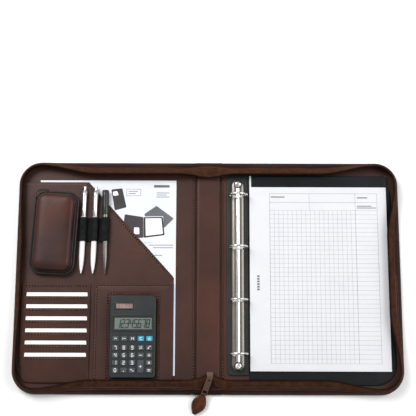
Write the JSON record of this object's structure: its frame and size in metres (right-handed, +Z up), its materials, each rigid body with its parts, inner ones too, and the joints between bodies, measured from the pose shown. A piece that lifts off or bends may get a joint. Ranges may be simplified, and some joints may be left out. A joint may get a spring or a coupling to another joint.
{
  "type": "zip-round portfolio case",
  "caption": "Zip-round leather portfolio case lying open, with a ring binder, writing pad, document pocket, card slots, pen loops, phone pouch and a pocket calculator.",
  "frame": {"origin": "centre of the spine's outer face, on the surface that the open case lies on", "axes": "+X towards the back cover's fore edge, +Y towards the top edge, +Z up, out of the case's inside"},
  "size_m": [0.586, 0.3824, 0.0358],
  "materials": {
    "outer_leather": "mottled pull-up",
    "lining_leather": "satin",
    "gusset_leather": "satin",
    "zip_tape": "woven",
    "board": "plain",
    "black_leatherette": "gloss",
    "ring_plate_leatherette": "satin",
    "paper": "matt",
    "ring_steel": "polished nickel",
    "zip_metal": "antiqued",
    "tab_leather": "satin",
    "calculator_plastic": "satin",
    "key_grey": "satin",
    "key_blue": "satin",
    "elastic": "woven elastic",
    "pen_metal": "satin",
    "pouch_leather": "satin"
  },
  "bodies": {
    "back_cover": {"back_board": "board", "back_gusset": "gusset_leather", "back_lining": "lining_leather", "back_outer_leather": "outer_leather", "back_zip_tape": "zip_tape", "notepad": "paper", "pad_pocket": "black_leatherette", "ring_plate": "ring_plate_leatherette", "ring_rail": "ring_steel"},
    "spine": {"spine_leather": "outer_leather", "spine_board": "board", "spine_lining": "lining_leather", "zip_slider": "zip_metal"},
    "front_cover": {"front_outer_leather": "outer_leather", "front_board": "board", "front_lining": "lining_leather", "front_gusset": "gusset_leather", "front_zip_tape": "zip_tape", "document_pocket": "lining_leather", "leaflet": "paper", "cards": "paper", "ribbed_panel": "outer_leather", "card_slots": "lining_leather", "calculator_pocket": "lining_leather", "calculator_case": "calculator_plastic", "pen_loops": "elastic", "pens": "pen_metal", "pouch_base": "pouch_leather"},
    "ring_halves_left": {"rings_left": "ring_steel"},
    "ring_halves_right": {"rings_right": "ring_steel"},
    "pull_link": {"zip_pull_link": "zip_metal"},
    "pull_tab": {"zip_pull_tab": "tab_leather"},
    "strap": {"closure_strap": "outer_leather"},
    "button_left": {"pen_button_left": "pen_metal"},
    "button_middle": {"pen_button_middle": "pen_metal"},
    "pouch_cover": {"pouch_lid": "pouch_leather"},
    "calc_key_clear": {"key_clear": "key_blue"},
    "calc_key_divide": {"key_divide": "key_grey"},
    "calc_key_double_zero": {"key_double_zero": "key_grey"},
    "calc_key_eight": {"key_eight": "key_grey"},
    "calc_key_equals": {"key_equals": "key_grey"},
    "calc_key_five": {"key_five": "key_grey"},
    "calc_key_four": {"key_four": "key_grey"},
    "calc_key_mark_up": {"key_mark_up": "key_grey"},
    "calc_key_memory_recall": {"key_memory_recall": "key_grey"},
    "calc_key_minus": {"key_minus": "key_grey"},
    "calc_key_multiply": {"key_multiply": "key_grey"},
    "calc_key_nine": {"key_nine": "key_grey"},
    "calc_key_one": {"key_one": "key_grey"},
    "calc_key_percent": {"key_percent": "key_grey"},
    "calc_key_plus": {"key_plus": "key_grey"},
    "calc_key_point": {"key_point": "key_grey"},
    "calc_key_power": {"key_power": "key_blue"},
    "calc_key_root": {"key_root": "key_grey"},
    "calc_key_seven": {"key_seven": "key_grey"},
    "calc_key_sign_change": {"key_sign_change": "key_grey"},
    "calc_key_six": {"key_six": "key_grey"},
    "calc_key_three": {"key_three": "key_grey"},
    "calc_key_two": {"key_two": "key_grey"},
    "calc_key_zero": {"key_zero": "key_grey"}
  },
  "joints": [
    {"name": "spine_fold", "type": "hinge", "parent": "back_cover", "child": "spine", "pos_m": [0.022, 0, 0.001], "axis": [0, 1, 0], "range_deg": [0, 90]},
    {"name": "front_fold", "type": "hinge", "parent": "spine", "child": "front_cover", "pos_m": [-0.022, 0, 0.001], "axis": [0, 1, 0], "range_deg": [0, 90]},
    {"name": "rings_open", "type": "hinge", "parent": "back_cover", "child": "ring_halves_left", "pos_m": [0.0368, 0.003, 0.0083], "axis": [0, 1, 0], "range_deg": [-18, 0]},
    {"name": "rings_right_open", "type": "hinge", "parent": "back_cover", "child": "ring_halves_right", "pos_m": [0.0532, 0.003, 0.0083], "axis": [0, -1, 0], "range_deg": [-18, 0]},
    {"name": "pull_link_swing", "type": "hinge", "parent": "spine", "child": "pull_link", "pos_m": [0.003, -0.152, 0.0139], "axis": [0.9397, -0.342, 0], "range_deg": [-100, 0]},
    {"name": "pull_tab_swing", "type": "hinge", "parent": "pull_link", "child": "pull_tab", "pos_m": [-0.00576, -0.17606, 0.00938], "axis": [0.9397, -0.342, 0], "range_deg": [-80, 0]},
    {"name": "strap_lift", "type": "hinge", "parent": "front_cover", "child": "strap", "pos_m": [-0.272, 0, 0.0008], "axis": [0, 1, 0], "range_deg": [0, 100]},
    {"name": "pouch_lid_open", "type": "hinge", "parent": "front_cover", "child": "pouch_cover", "pos_m": [-0.26795, 0.06638, 0.0166], "axis": [0.0523, 0.9986, 0], "range_deg": [-70, 0]},
    {"name": "pen_click_left", "type": "slide", "parent": "front_cover", "child": "button_left", "axis": [-0.0216, -0.9998, 0], "range_m": [0, 0.004], "stiffness_N_per_m": 200},
    {"name": "pen_click_middle", "type": "slide", "parent": "front_cover", "child": "button_middle", "axis": [-0.017, -0.9999, 0], "range_m": [0, 0.004], "stiffness_N_per_m": 200},
    {"name": "press_clear", "type": "slide", "parent": "front_cover", "child": "calc_key_clear", "axis": [0, 0, -1], "range_m": [0, 0.0008], "stiffness_N_per_m": 400},
    {"name": "press_divide", "type": "slide", "parent": "front_cover", "child": "calc_key_divide", "axis": [0, 0, -1], "range_m": [0, 0.0008], "stiffness_N_per_m": 400},
    {"name": "press_double_zero", "type": "slide", "parent": "front_cover", "child": "calc_key_double_zero", "axis": [0, 0, -1], "range_m": [0, 0.0008], "stiffness_N_per_m": 400},
    {"name": "press_eight", "type": "slide", "parent": "front_cover", "child": "calc_key_eight", "axis": [0, 0, -1], "range_m": [0, 0.0008], "stiffness_N_per_m": 400},
    {"name": "press_equals", "type": "slide", "parent": "front_cover", "child": "calc_key_equals", "axis": [0, 0, -1], "range_m": [0, 0.0008], "stiffness_N_per_m": 400},
    {"name": "press_five", "type": "slide", "parent": "front_cover", "child": "calc_key_five", "axis": [0, 0, -1], "range_m": [0, 0.0008], "stiffness_N_per_m": 400},
    {"name": "press_four", "type": "slide", "parent": "front_cover", "child": "calc_key_four", "axis": [0, 0, -1], "range_m": [0, 0.0008], "stiffness_N_per_m": 400},
    {"name": "press_mark_up", "type": "slide", "parent": "front_cover", "child": "calc_key_mark_up", "axis": [0, 0, -1], "range_m": [0, 0.0008], "stiffness_N_per_m": 400},
    {"name": "press_memory_recall", "type": "slide", "parent": "front_cover", "child": "calc_key_memory_recall", "axis": [0, 0, -1], "range_m": [0, 0.0008], "stiffness_N_per_m": 400},
    {"name": "press_minus", "type": "slide", "parent": "front_cover", "child": "calc_key_minus", "axis": [0, 0, -1], "range_m": [0, 0.0008], "stiffness_N_per_m": 400},
    {"name": "press_multiply", "type": "slide", "parent": "front_cover", "child": "calc_key_multiply", "axis": [0, 0, -1], "range_m": [0, 0.0008], "stiffness_N_per_m": 400},
    {"name": "press_nine", "type": "slide", "parent": "front_cover", "child": "calc_key_nine", "axis": [0, 0, -1], "range_m": [0, 0.0008], "stiffness_N_per_m": 400},
    {"name": "press_one", "type": "slide", "parent": "front_cover", "child": "calc_key_one", "axis": [0, 0, -1], "range_m": [0, 0.0008], "stiffness_N_per_m": 400},
    {"name": "press_percent", "type": "slide", "parent": "front_cover", "child": "calc_key_percent", "axis": [0, 0, -1], "range_m": [0, 0.0008], "stiffness_N_per_m": 400},
    {"name": "press_plus", "type": "slide", "parent": "front_cover", "child": "calc_key_plus", "axis": [0, 0, -1], "range_m": [0, 0.0008], "stiffness_N_per_m": 400},
    {"name": "press_point", "type": "slide", "parent": "front_cover", "child": "calc_key_point", "axis": [0, 0, -1], "range_m": [0, 0.0008], "stiffness_N_per_m": 400},
    {"name": "press_power", "type": "slide", "parent": "front_cover", "child": "calc_key_power", "axis": [0, 0, -1], "range_m": [0, 0.0008], "stiffness_N_per_m": 400},
    {"name": "press_root", "type": "slide", "parent": "front_cover", "child": "calc_key_root", "axis": [0, 0, -1], "range_m": [0, 0.0008], "stiffness_N_per_m": 400},
    {"name": "press_seven", "type": "slide", "parent": "front_cover", "child": "calc_key_seven", "axis": [0, 0, -1], "range_m": [0, 0.0008], "stiffness_N_per_m": 400},
    {"name": "press_sign_change", "type": "slide", "parent": "front_cover", "child": "calc_key_sign_change", "axis": [0, 0, -1], "range_m": [0, 0.0008], "stiffness_N_per_m": 400},
    {"name": "press_six", "type": "slide", "parent": "front_cover", "child": "calc_key_six", "axis": [0, 0, -1], "range_m": [0, 0.0008], "stiffness_N_per_m": 400},
    {"name": "press_three", "type": "slide", "parent": "front_cover", "child": "calc_key_three", "axis": [0, 0, -1], "range_m": [0, 0.0008], "stiffness_N_per_m": 400},
    {"name": "press_two", "type": "slide", "parent": "front_cover", "child": "calc_key_two", "axis": [0, 0, -1], "range_m": [0, 0.0008], "stiffness_N_per_m": 400},
    {"name": "press_zero", "type": "slide", "parent": "front_cover", "child": "calc_key_zero", "axis": [0, 0, -1], "range_m": [0, 0.0008], "stiffness_N_per_m": 400}
  ],
  "couplings": [
    {"joint": "rings_right_open", "follows": "rings_open", "ratio": 1}
  ]
}
